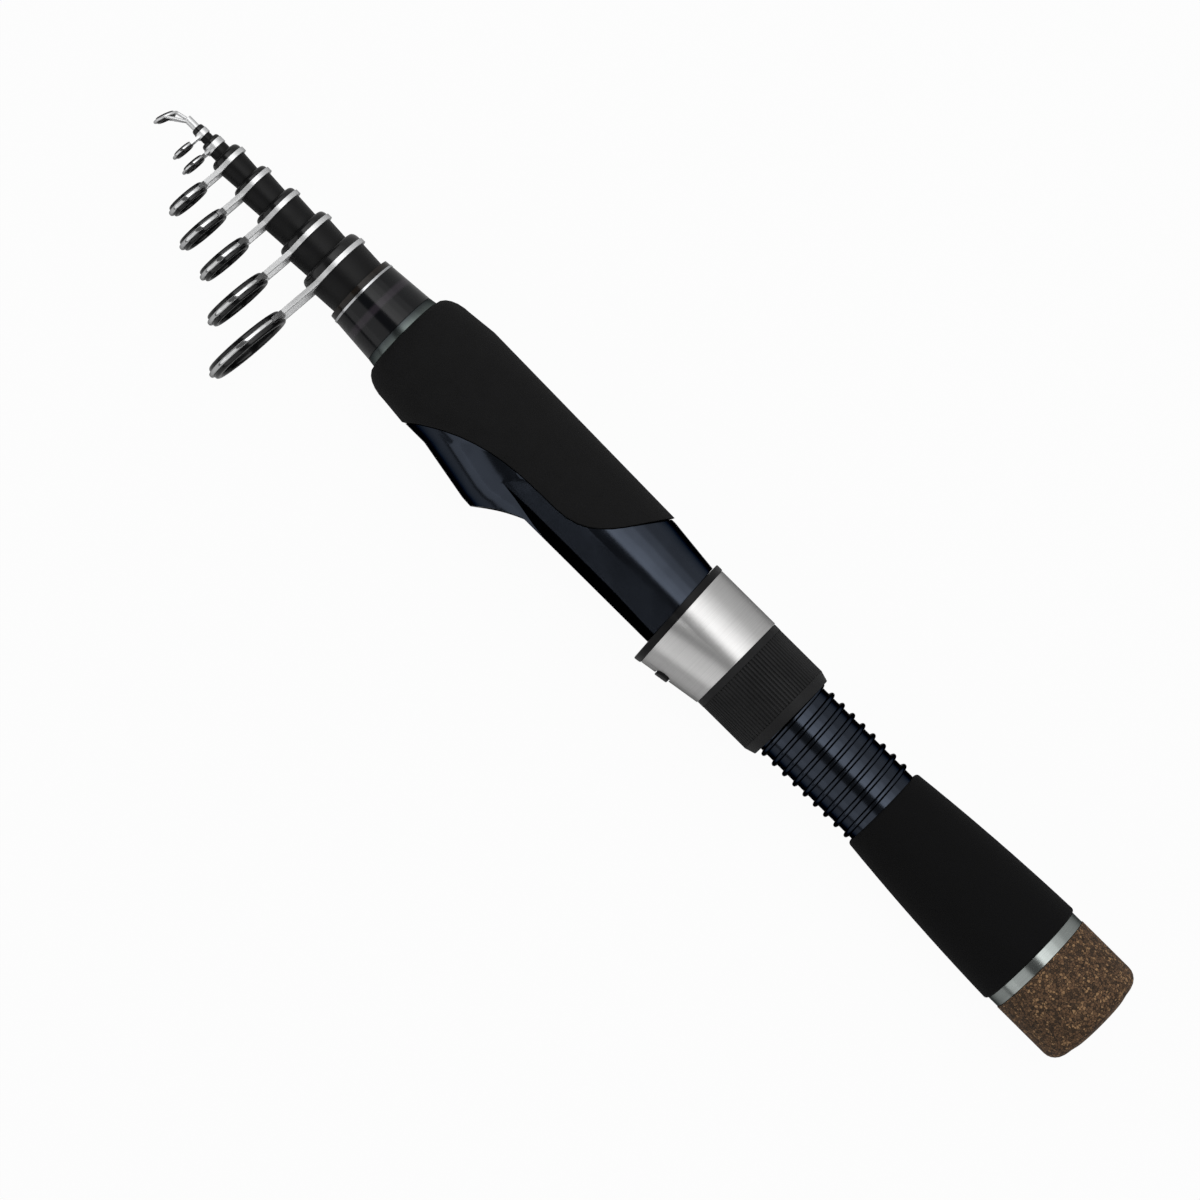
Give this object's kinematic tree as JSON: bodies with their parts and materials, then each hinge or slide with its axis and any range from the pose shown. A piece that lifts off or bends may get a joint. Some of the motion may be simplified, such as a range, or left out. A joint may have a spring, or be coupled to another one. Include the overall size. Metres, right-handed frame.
{
  "type": "telescopic fishing rod",
  "caption": "Telescopic spinning rod, closed for travel, with foam grips, a screw-lock reel seat, sliding sections with ringed line guides, and an unscrewing cork butt cap",
  "frame": {"origin": "middle of the butt cap's rear face, on the rod's axis", "axes": "+X runs along the rod's axis from butt to tip; +Y points to the line guides and the reel's side; +Z completes a right-handed frame, so Z = 0 is the rod's plane of symmetry"},
  "size_m": [0.3399, 0.0603, 0.0336],
  "materials": {
    "carbon": "gloss",
    "glass_tip": "gloss",
    "lacquer": "gloss",
    "seat_plastic": "gloss",
    "hood_plastic": "satin",
    "nut_plastic": "matte",
    "collar_plastic": "satin",
    "nose_plastic": "gloss",
    "eva_foam": "matte",
    "bumper_rubber": "matte",
    "cork": "matte",
    "hood_metal": "polished",
    "trim_metal": "satin",
    "check_metal": "satin",
    "bright_trim": "polished",
    "socket_metal": "satin",
    "guide_steel": "polished",
    "guide_ceramic": "gloss"
  },
  "bodies": {
    "handle": {"handle_blank": "carbon", "butt_socket": "socket_metal", "rear_grip": "eva_foam", "reel_seat": "seat_plastic", "foregrip": "eva_foam", "winding_check": "check_metal", "front_wrap": "lacquer", "mouth_ring": "bright_trim"},
    "hood": {"hood_core": "hood_plastic", "hood_shell": "hood_metal"},
    "nut": {"lock_nut": "nut_plastic"},
    "butt_ring": {"trim_ring": "trim_metal"},
    "butt_cap": {"butt_plug": "socket_metal", "butt_cork": "cork", "butt_bumper": "bumper_rubber"},
    "section_8": {"tube_8": "carbon", "collar_8": "collar_plastic", "guide_frame_8": "guide_steel", "guide_ring_8": "guide_ceramic", "nose_8": "nose_plastic"},
    "section_7": {"tube_7": "carbon", "collar_7": "collar_plastic", "guide_frame_7": "guide_steel", "guide_ring_7": "guide_ceramic", "nose_7": "nose_plastic"},
    "section_6": {"tube_6": "carbon", "collar_6": "collar_plastic", "guide_frame_6": "guide_steel", "guide_ring_6": "guide_ceramic", "nose_6": "nose_plastic"},
    "section_5": {"tube_5": "carbon", "collar_5": "collar_plastic", "guide_frame_5": "guide_steel", "guide_ring_5": "guide_ceramic", "nose_5": "nose_plastic"},
    "section_4": {"tube_4": "carbon", "collar_4": "collar_plastic", "guide_frame_4": "guide_steel", "guide_ring_4": "guide_ceramic", "nose_4": "nose_plastic"},
    "section_3": {"tube_3": "carbon", "collar_3": "collar_plastic", "guide_frame_3": "guide_steel", "guide_ring_3": "guide_ceramic", "nose_3": "nose_plastic"},
    "section_2": {"tube_2": "carbon", "collar_2": "collar_plastic", "guide_frame_2": "guide_steel", "guide_ring_2": "guide_ceramic", "nose_2": "nose_plastic"},
    "section_1": {"tip_rod": "glass_tip", "tip_top_frame": "guide_steel", "tip_top_ring": "guide_ceramic"}
  },
  "joints": [
    {"name": "hood_slide", "type": "slide", "parent": "handle", "child": "hood", "axis": [1, 0, 0], "range_m": [-0.032, 0]},
    {"name": "nut_turn", "type": "hinge", "parent": "hood", "child": "nut", "pos_m": [0.1224, 0, 0], "axis": [1, 0, 0], "range_deg": [-3073, 0]},
    {"name": "butt_ring_slide", "type": "slide", "parent": "handle", "child": "butt_ring", "axis": [1, 0, 0], "range_m": [-0.011, 0]},
    {"name": "butt_cap_turn", "type": "hinge", "parent": "butt_ring", "child": "butt_cap", "pos_m": [0.0103, 0, 0], "axis": [1, 0, 0], "range_deg": [-2641, 0]},
    {"name": "section_8_slide", "type": "slide", "parent": "handle", "child": "section_8", "axis": [1, 0, 0], "range_m": [0, 0.2043]},
    {"name": "section_7_slide", "type": "slide", "parent": "section_8", "child": "section_7", "axis": [1, 0, 0], "range_m": [0, 0.21585]},
    {"name": "section_6_slide", "type": "slide", "parent": "section_7", "child": "section_6", "axis": [1, 0, 0], "range_m": [0, 0.2257]},
    {"name": "section_5_slide", "type": "slide", "parent": "section_6", "child": "section_5", "axis": [1, 0, 0], "range_m": [0, 0.23575]},
    {"name": "section_4_slide", "type": "slide", "parent": "section_5", "child": "section_4", "axis": [1, 0, 0], "range_m": [0, 0.245]},
    {"name": "section_3_slide", "type": "slide", "parent": "section_4", "child": "section_3", "axis": [1, 0, 0], "range_m": [0, 0.25405]},
    {"name": "section_2_slide", "type": "slide", "parent": "section_3", "child": "section_2", "axis": [1, 0, 0], "range_m": [0, 0.2593]},
    {"name": "section_1_slide", "type": "slide", "parent": "section_2", "child": "section_1", "axis": [1, 0, 0], "range_m": [0, 0.26395]}
  ],
  "couplings": [
    {"joint": "nut_turn", "follows": "hood_slide", "rad_per_m": 1675.5},
    {"joint": "butt_cap_turn", "follows": "butt_ring_slide", "rad_per_m": 4188.8}
  ]
}
